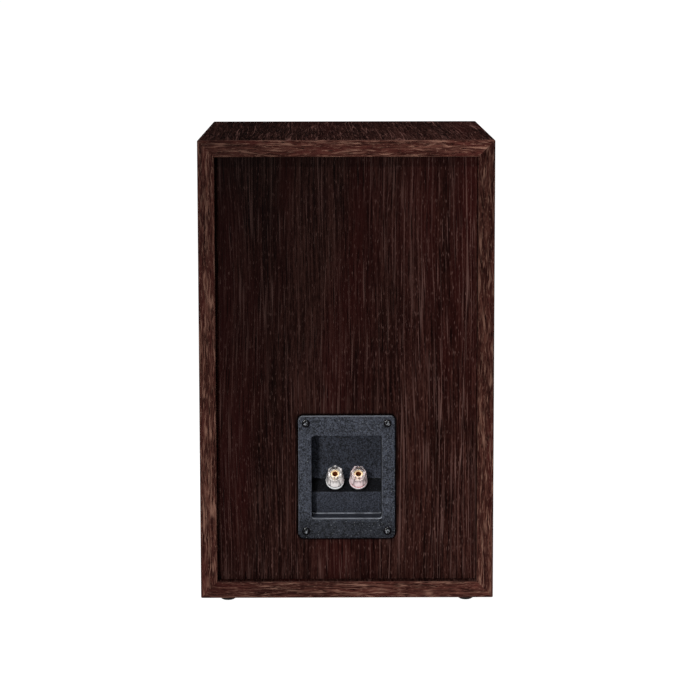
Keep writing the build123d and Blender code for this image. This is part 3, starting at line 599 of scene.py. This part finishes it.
def fibre(name, color, x0, z0):
    """Pressed paper with radial and fine concentric marks."""
    g = Mat(name)
    x, y, z = g.xyz()
    dx, dz = g.math("SUBTRACT", x, x0), g.math("SUBTRACT", z, z0)
    r = g.math("SQRT", g.math("ADD", g.math("MULTIPLY", dx, dx), g.math("MULTIPLY", dz, dz)))
    rings = g.math("MULTIPLY_ADD", g.math("SINE", g.math("MULTIPLY", r, 2 * math.pi / 0.004)), 0.5, 0.5)
    pulp = g.noise(g.pos, 420.0, 5.0, 0.7)
    hair = g.noise(g.vec(g.math("MULTIPLY", x, 3.0), y, z), 900.0, 3.0, 0.7)
    tone = g.math("MULTIPLY_ADD", pulp, 0.7, g.math("MULTIPLY", hair, 0.5))
    col = g.ramp(tone, [(0.3, tuple(c * 0.6 for c in color)), (0.6, color), (0.85, tuple(c * 1.7 for c in color))])
    h = g.math("MULTIPLY_ADD", rings, 0.35, pulp)
    g.set(color=col, rough=g.math("MULTIPLY_ADD", hair, 0.2, 0.6), spec=0.25, normal=g.bump(h, 0.5, 0.0003))
    return g.m


# painted light: one side panel's board edges are drawn a little lighter than the other's
SIDE_PAINTED_LIGHT = {
    n: ((0.55, 0.0, -0.07, 0.0, 0.0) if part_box(n)[0].x > 0 else (0.59, 0.0, -0.07, 0.0, 0.0))
    for n in ("side_panel_left", "side_panel_right")
}
# painted light: the tone and rim figures in the veneer calls are brightness gradients; the top is drawn much lighter,
# and the back brighter towards -X and towards the bottom
M = {
    "veneer_side_l": veneer("veneer_side_l", "zyx", "xzy", 2.0, None, SIDE_PAINTED_LIGHT["side_panel_left"]),
    "veneer_side_r": veneer("veneer_side_r", "zyx", "xzy", 7.0, None, SIDE_PAINTED_LIGHT["side_panel_right"]),
    "veneer_top": veneer("veneer_top", "xyz", "zxy", 13.0, (1.32, 0.42, 0.0, 0.0, 0.0), (0.76, 0.29, 0.0, 0.0, 0.0),
                         look=dict(V, pale=(0.155, 0.074, 0.062), gain=3.2, flecks=(0.6, 0.55, 0.95), first=0.57)),
    "veneer_bottom": veneer("veneer_bottom", "xyz", "zxy", 19.0, None, (0.62, 0.17, 0.0, 0.0, 0.0)),
    "veneer_back": veneer("veneer_back", "xzy", None, 29.0, (0.86, 0.51, -0.19, 0.08, 0.24),
                          plate=(0.035, 0.045, 0.004, 0.0929)),
    "baffle": painted("baffle", (0.012, 0.012, 0.013), 0.5, 0.3),
    "cup": cup_plastic("cup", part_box("terminal_cup")[1].y),
    "seal": rubber("seal", (0.01, 0.01, 0.01), 0.85),
    "black_screw": painted("black_screw", (0.003, 0.003, 0.0035), 0.13, 0.02, 0.5),
    "plate_screw": screw_black("plate_screw", 0.0295, 0.0395, 0.0929),
    "gold": plated("gold", (0.82, 0.60, 0.35), (0.40, 0.085, 0.014)),
    "tin": metal("tin", (0.66, 0.62, 0.5), 0.35, 0.2),
    "zinc": metal("zinc", (0.5, 0.5, 0.48), 0.35, 0.2),
    "collar": moulded("collar", (0.008, 0.008, 0.009), 1.5, 0.1, 0.25, 0.06, 0.6),
    "nickel": metal("nickel", (0.83, 0.78, 0.73), 0.3, 0.1),
    "clear_black": milky("clear_black", (0.99, 0.93, 0.91), (0.88, 0.2)),
    "clear_red": milky("clear_red", (1.0, 0.79, 0.80), (0.88, 0.2)),
    "ring_red": moulded("ring_red", (0.55, 0.02, 0.035), 1.2, 0.1, 0.3, 0.08, 0.5),
    "ring_black": moulded("ring_black", (0.008, 0.008, 0.009), 1.2, 0.1, 0.3, 0.08, 0.5),
    "foot": rubber("foot", (0.008, 0.008, 0.0085), 0.62),
    "basket": painted("basket", (0.012, 0.012, 0.013), 0.42, 0.25),
    "trim": moulded("trim", (0.012, 0.012, 0.0128), 0.7, 0.2, 0.42, 0.25, 0.4),
    "surround": rubber("surround", (0.007, 0.007, 0.0075), 0.5),
    "cone": fibre("cone", (0.016, 0.0155, 0.015), 0.0, 0.155),
    "dust": fibre("dust", (0.011, 0.0105, 0.0105), 0.0, 0.155),
    "spider": cloth("spider", (0.42, 0.25, 0.07), 0.0008, 0.3, 0.7, 0.0),
    "coil": wound("coil", (0.6, 0.2, 0.08), 0.0, 0.155, 0.0004),
    "coil_t": wound("coil_t", (0.6, 0.2, 0.08), 0.0, 0.269, 0.0003),
    "steel": metal("steel", (0.5, 0.5, 0.5), 0.3, 0.25),
    "ferrite": moulded("ferrite", (0.03, 0.03, 0.031), 0.9, 0.4, 0.55, 0.4),
    "silk": cloth("silk", (0.012, 0.012, 0.013), 0.0004, 0.3, 0.35, 0.1),
    "port": moulded("port", (0.012, 0.012, 0.0125), 0.8, 0.2, 0.45, 0.3),
    "pcb": moulded("pcb", (0.02, 0.12, 0.045), 1.6, 0.25, 0.35, 0.2, 0.5),
    "nylon": moulded("nylon", (0.6, 0.58, 0.52), 1.2, 0.1, 0.4, 0.1),
    "winding": wound("winding", (0.62, 0.23, 0.09), -0.028, 0.219, 0.0011),
    "film": moulded("film", (0.55, 0.33, 0.03), 2.0, 0.12, 0.25, 0.08, 0.5),
    "cement": moulded("cement", (0.68, 0.66, 0.6), 0.7, 0.2, 0.75, 0.5),
    "jacket": moulded("jacket", (0.016, 0.016, 0.018), 1.2, 0.12, 0.4, 0.1),
    "grille_frame": moulded("grille_frame", (0.009, 0.009, 0.0095), 0.8, 0.2, 0.5, 0.3),
    "grille_cloth": cloth("grille_cloth", (0.024, 0.024, 0.0255), 0.0021, 0.45, 1.0, 0.10),
    "wadding": cloth("wadding", (0.72, 0.71, 0.68), 0.004, 1.4, 0.9, 0.3),
}

FINISH = {
    "top_panel": "veneer_top", "bottom_panel": "veneer_bottom", "side_panel_left": "veneer_side_l",
    "side_panel_right": "veneer_side_r", "back_panel": "veneer_back", "front_baffle": "baffle",
    "glue_cleats": "cement", "damping_wadding": "wadding", "rubber_feet": "foot", "terminal_cup": "cup",
    "terminal_gasket": "seal", "terminal_screws": "plate_screw", "red_post_stud": "gold",
    "black_post_stud": "gold", "post_collars": "collar", "red_clamp_washer": "gold",
    "black_clamp_washer": "gold", "red_cap_insert": "nickel", "black_cap_insert": "nickel",
    "red_post_cap": "clear_red", "black_post_cap": "clear_black", "red_marker_ring": "ring_red",
    "black_marker_ring": "ring_black", "post_nuts": "zinc", "solder_lugs": "tin", "woofer_basket": "basket",
    "woofer_trim_ring": "trim", "woofer_surround": "surround", "woofer_cone": "cone", "woofer_dust_cap": "dust",
    "woofer_spider": "spider", "woofer_voice_coil": "coil", "woofer_top_plate": "steel",
    "woofer_magnet": "ferrite", "woofer_yoke": "steel", "tweeter_faceplate": "trim", "tweeter_dome": "silk",
    "tweeter_surround": "silk", "tweeter_voice_coil": "coil_t", "tweeter_top_plate": "steel",
    "tweeter_magnet": "ferrite", "tweeter_yoke": "steel", "driver_gaskets": "seal", "driver_tabs": "tin",
    "driver_screws": "black_screw", "port_tube": "port", "crossover_board": "pcb",
    "crossover_standoffs": "nylon", "crossover_screws": "zinc", "crossover_inductors": "winding",
    "crossover_capacitors": "film", "crossover_resistor": "cement", "input_leads": "jacket",
    "woofer_leads": "jacket", "tweeter_leads": "jacket", "grille_frame": "grille_frame",
    "grille_cloth": "grille_cloth", "grille_pegs": "grille_frame", "grille_sockets": "seal",
}
for node, key in FINISH.items():
    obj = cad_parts[node]
    if not obj.data.materials:
        obj.data.materials.append(M[key])
    for i in range(len(obj.material_slots)):
        obj.material_slots[i].material = M[key]


# ------------------------------------------------------------------ mesh helpers
def new_object(name, verts, faces, mat, smooth=True):
    me = bpy.data.meshes.new(name)
    me.from_pydata([tuple(v) for v in verts], [], faces)
    me.update()
    ob = bpy.data.objects.new(name, me)
    scene.collection.objects.link(ob)
    me.materials.append(mat)
    if smooth:
        for p in me.polygons:
            p.use_smooth = True
    return ob


def lathe(name, profile, x0, z0, mat, segs=160):
    """Closed ring turned about Y through (x0, z0); profile is a closed loop of (radius, y)."""
    verts, faces = [], []
    n = len(profile)
    for i in range(segs):
        a = 2 * math.pi * i / segs
        for r, y in profile:
            verts.append((x0 + r * math.cos(a), y, z0 + r * math.sin(a)))
    for i in range(segs):
        j = (i + 1) % segs
        for k in range(n):
            m = (k + 1) % n
            faces.append((i * n + k, i * n + m, j * n + m, j * n + k))
    ob = new_object(name, verts, faces, mat)
    bm = bmesh.new()
    bm.from_mesh(ob.data)
    bmesh.ops.recalc_face_normals(bm, faces=bm.faces)
    bm.to_mesh(ob.data)
    bm.free()
    return ob


def flex(ob, x0, z0, r_in, r_out, fixed, moving, axis_y=0.01):
    """The piece follows the moving body at its inner radius and the fixed one at its outer radius."""
    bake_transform(ob, fixed, moving, start=(x0, 0, z0), end=(x0, axis_y, z0))
    data = ob.data.attributes["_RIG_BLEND"].data
    for i, v in enumerate(ob.data.vertices):
        r = math.hypot(v.co.x - x0, v.co.z - z0)
        t = max(0.0, min(1.0, (r_out - r) / (r_out - r_in)))
        data[i].value = t * t * (3 - 2 * t)


# woofer surround: half-roll with two glue lands and fine moulded ribs beside them
WD = -0.121
WZ = 0.155
mid_r, land_y = 0.0535, WD - 0.00235
top, under = [], []
for i in range(29):
    a = math.pi * i / 28
    rr = 0.00375
    top.append((mid_r - rr * math.cos(a), land_y - rr * math.sin(a)))
    rr = 0.0031
    under.append((mid_r - rr * math.cos(a), land_y - rr * math.sin(a)))
inner = [(0.0468, land_y - 0.0003), (0.0482, land_y - 0.00034), (0.0494, land_y - 0.00038)]
outer = [(0.0578, land_y - 0.0004), (0.0592, land_y - 0.00034), (0.0615, land_y - 0.0003)]
profile = inner + top + outer + [(0.0615, land_y + 0.0003), (0.0572, land_y + 0.0003)]
profile += under[::-1] + [(0.0496, land_y + 0.0003), (0.0468, land_y + 0.0003)]
surround = lathe("woofer_surround_roll", profile, 0.0, WZ, M["surround"])
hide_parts("woofer_surround")
flex(surround, 0.0, WZ, 0.0497, 0.0573, "cabinet", "woofer_diaphragm")

# centring spider: corrugated cloth
low, high = [], []
N = 96
for i in range(N + 1):
    t = i / N
    r = 0.01315 + (0.0405 - 0.01315) * t
    fade = min(1.0, t * 9) * min(1.0, (1 - t) * 7)
    wave = 0.00095 * math.sin(t * 2 * math.pi * 6.0) * fade
    low.append((r, WD + 0.0299 + wave + 0.00028))
    high.append((r, WD + 0.0299 + wave - 0.00028))
spider = lathe("woofer_spider_cloth", low + high[::-1], 0.0, WZ, M["spider"], 96)
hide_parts("woofer_spider")
flex(spider, 0.0, WZ, 0.0145, 0.037, "cabinet", "woofer_diaphragm")

# tweeter surround
TD, TZ = -0.121, 0.269
land = TD + 0.0014
top, under = [], []
for i in range(17):
    a = math.pi * i / 16
    top.append((0.0141 - 0.0012 * math.cos(a), land - 0.0012 * math.sin(a)))
    under.append((0.0141 - 0.00088 * math.cos(a), land - 0.00088 * math.sin(a)))
# the silk carries on inwards to meet the dome, over the end of the coil's former
profile = [(0.01242, land - 0.00002), (0.01242, land - 0.00028)] + top[1:]
profile += [(0.0163, land + 0.0), (0.0163, land + 0.0004), (0.0150, land + 0.0004)]
profile += under[::-1][:-1] + [(0.01322, land - 0.00002)]
t_sur = lathe("tweeter_surround_roll", profile, 0.0, TZ, M["silk"], 128)
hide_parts("tweeter_surround")
flex(t_sur, 0.0, TZ, 0.0130, 0.0153, "cabinet", "tweeter_diaphragm")


# ------------------------------------------------------------------ grille cloth
def rounded_rect(hw, hh, rc, zc, n_side=24, n_corner=7):
    """Points round a rectangle with rounded corners, starting on the right side's middle."""
    rc = max(rc, 0.0001)
    pts = []
    for cx, cz, a0 in ((1, 1, 0), (-1, 1, 90), (-1, -1, 180), (1, -1, 270)):
        for i in range(n_corner):
            a = math.radians(a0 + 90 * i / (n_corner - 1))
            pts.append((cx * (hw - rc) + rc * math.cos(a), cz * (hh - rc) + rc * math.sin(a)))
        # straight run to the next corner
        nxt = {0: (-1, 1), 90: (-1, -1), 180: (1, -1), 270: (1, 1)}[a0]
        a = math.radians(a0 + 90)
        p0 = pts[-1]
        p1 = (nxt[0] * (hw - rc) + rc * math.cos(a), nxt[1] * (hh - rc) + rc * math.sin(a))
        for i in range(1, n_side):
            t = i / n_side
            pts.append((p0[0] + (p1[0] - p0[0]) * t, p0[1] + (p1[1] - p0[1]) * t))
    return [(x, zc + z) for x, z in pts]


g_lo, g_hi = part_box("grille_cloth")
gw, gh = (g_hi.x - g_lo.x) / 2 - 0.0002, (g_hi.z - g_lo.z) / 2 - 0.0002
gz, gf, gb = (g_hi.z + g_lo.z) / 2, g_lo.y + 0.00012, g_hi.y - 0.0003
loops = []
for k in range(9):
    t = k / 8
    hw, hh = gw * (0.12 + 0.78 * t), gh * (0.12 + 0.78 * t)
    bow = 0.00022 * math.cos(t * math.pi / 2)
    loops.append((hw, hh, 0.004, gf + bow))
RE = 0.0017
loops.append((gw - RE - 0.006, gh - RE - 0.006, 0.003, gf + 0.00001))
for k in range(7):
    a = math.radians(90 * k / 6)
    loops.append((gw - RE + RE * math.sin(a), gh - RE + RE * math.sin(a), 0.0022, gf + RE - RE * math.cos(a)))
for t in (0.2, 0.45, 0.7, 0.9, 1.0):
    loops.append((gw, gh, 0.0022, gf + RE + (gb - gf - RE) * t))
verts, faces = [], []
for hw, hh, rc, y in loops:
    for x, z in rounded_rect(hw, hh, rc, gz):
        verts.append((x, y, z))
n = len(verts) // len(loops)
for a in range(len(loops) - 1):
    for k in range(n):
        m = (k + 1) % n
        faces.append((a * n + k, a * n + m, (a + 1) * n + m, (a + 1) * n + k))
faces.append(tuple(range(n))[::-1])
sheet = new_object("grille_cloth_sheet", verts, faces, M["grille_cloth"])
bm = bmesh.new()
bm.from_mesh(sheet.data)
bmesh.ops.recalc_face_normals(bm, faces=bm.faces)
for f in bm.faces:
    if len(f.verts) > 4 and f.normal.y > 0:
        for q in bm.faces:
            q.normal_flip()
        break
bm.to_mesh(sheet.data)
bm.free()
mod = sheet.modifiers.new("thickness", "SOLIDIFY")
mod.thickness = 0.00035
mod.offset = -1.0
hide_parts("grille_cloth")
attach(sheet, "grille")


# ------------------------------------------------------------------ wadding on the inner walls
w_lo, w_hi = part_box("damping_wadding")
pads = []
for side in (-1, 1):
    xa = w_lo.x if side < 0 else w_hi.x - 0.018
    xb = xa + 0.018
    wall = xa if side < 0 else xb
    free = xb if side < 0 else xa
    verts, faces = [], []
    NY, NZ = 36, 52
    for layer in (0, 1):
        for i in range(NY + 1):
            for j in range(NZ + 1):
                u, v = i / NY, j / NZ
                y = w_lo.y + (w_hi.y - w_lo.y) * u
                z = w_lo.z + (w_hi.z - w_lo.z) * v
                edge = min(min(u, 1 - u) * 9, min(v, 1 - v) * 13, 1.0)
                rise = edge ** 0.45
                lump = 0.0011 * (
                    math.sin(i * 0.9 + side) * math.sin(j * 0.7) + 0.6 * math.sin(i * 2.1 + 1.3) * math.sin(j * 1.7 + 0.4)
                )
                thick = 0.0035 + (0.0135 + lump - 0.0012) * rise
                x = wall if layer == 0 else wall + (free - wall) / 0.018 * min(thick, 0.0178)
                verts.append((x, y, z))
    base = (NY + 1) * (NZ + 1)
    for i in range(NY):
        for j in range(NZ):
            a = i * (NZ + 1) + j
            q = (a, a + 1, a + NZ + 2, a + NZ + 1)
            faces.append(q)
            faces.append(tuple(base + t for t in q[::-1]))
    border = (
        [i * (NZ + 1) for i in range(NY + 1)]
        + [NY * (NZ + 1) + j for j in range(1, NZ + 1)]
        + [i * (NZ + 1) + NZ for i in range(NY - 1, -1, -1)]
        + [j for j in range(NZ - 1, 0, -1)]
    )
    for k in range(len(border)):
        a, b = border[k], border[(k + 1) % len(border)]
        faces.append((a, b, base + b, base + a))
    pad = new_object("wadding_left" if side < 0 else "wadding_right", verts, faces, M["wadding"])
    bm = bmesh.new()
    bm.from_mesh(pad.data)
    bmesh.ops.recalc_face_normals(bm, faces=bm.faces)
    bm.to_mesh(pad.data)
    bm.free()
    pads.append(pad)
for pad in pads:
    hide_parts("damping_wadding")
    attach(pad, "cabinet")

# ------------------------------------------------------------------ stage and light
floor_verts = [(0, -0.02, -0.0002)]
for i in range(96):
    a = 2 * math.pi * i / 96
    floor_verts.append((0.62 * math.cos(a), -0.02 + 0.5 * math.sin(a), -0.0002))
floor = new_object(
    "floor", floor_verts, [(0, i + 1, (i + 1) % 96 + 1) for i in range(96)], None, False
)
g = Mat("floor_pale")
fn = g.noise(g.pos, 30.0, 2.0, 0.5)
shade = g.step(fn, 0.2, 0.8, 0.28, 0.3)
g.set(color=g.vec(shade, shade, shade), rough=0.9, spec=0.0)
g.b.inputs["Emission Color"].default_value = (1, 1, 1, 1)
g.b.inputs["Emission Strength"].default_value = 1.0
floor.data.materials.clear()
floor.data.materials.append(g.m)
# the floor is one-sided, so it does not hide the feet from below
one_side = g.t.nodes.new("ShaderNodeMixShader")
g.t.links.new(g.t.nodes.new("ShaderNodeNewGeometry").outputs["Backfacing"], one_side.inputs[0])
g.t.links.new(g.b.outputs[0], one_side.inputs[1])
g.t.links.new(g.t.nodes.new("ShaderNodeBsdfTransparent").outputs[0], one_side.inputs[2])
g.t.links.new(one_side.outputs[0], next(n for n in g.t.nodes if n.type == "OUTPUT_MATERIAL").inputs["Surface"])
floor.visible_glossy = False

world = bpy.data.worlds.new("studio")
scene.world = world
world.use_nodes = True
wt = world.node_tree
wt.nodes.clear()
w_out = wt.nodes.new("ShaderNodeOutputWorld")
bg_seen = wt.nodes.new("ShaderNodeBackground")
bg_seen.inputs[0].default_value = (1, 1, 1, 1)
bg_seen.inputs[1].default_value = 1.05
bg_lit = wt.nodes.new("ShaderNodeBackground")
bg_lit.inputs[0].default_value = (0.93, 0.96, 1.0, 1)
bg_lit.inputs[1].default_value = 0.02
path = wt.nodes.new("ShaderNodeLightPath")
w_mix = wt.nodes.new("ShaderNodeMixShader")
wt.links.new(path.outputs["Is Camera Ray"], w_mix.inputs[0])
wt.links.new(bg_lit.outputs[0], w_mix.inputs[1])
wt.links.new(bg_seen.outputs[0], w_mix.inputs[2])
wt.links.new(w_mix.outputs[0], w_out.inputs[0])


def softbox(name, loc, target, size, power, color=(1, 1, 1), spread=180.0):
    d = bpy.data.lights.new(name, "AREA")
    d.shape = "RECTANGLE"
    d.size, d.size_y = size
    d.energy = power
    d.color = color
    d.spread = math.radians(spread)
    o = bpy.data.objects.new(name, d)
    scene.collection.objects.link(o)
    o.location = loc
    o.rotation_euler = (Vector(target) - Vector(loc)).to_track_quat("-Z", "Y").to_euler()
    return o


# photograph's side: +Y. Image left is +X.
softbox("key_rear", (0.72, 2.45, 0.5), (-0.02, 0.13, 0.16), (0.26, 0.26), 28.0)
softbox("crest_rear", (0.35, 1.35, 1.55), (0, 0.13, 0.12), (0.5, 0.22), 11.0)
softbox("fill_rear", (-1.5, 1.9, 0.9), (0, 0.13, 0.16), (0.9, 0.9), 1.2)
softbox("top", (0.0, 0.5, 2.0), (0, 0, 0.3), (1.0, 1.0), 12.0)
softbox("front_left", (1.5, -1.9, 0.26), (0, -0.1, 0.17), (0.9, 0.45), 26.0)
softbox("front_right", (-1.6, -1.6, 0.24), (0, -0.1, 0.17), (0.8, 0.4), 13.0)
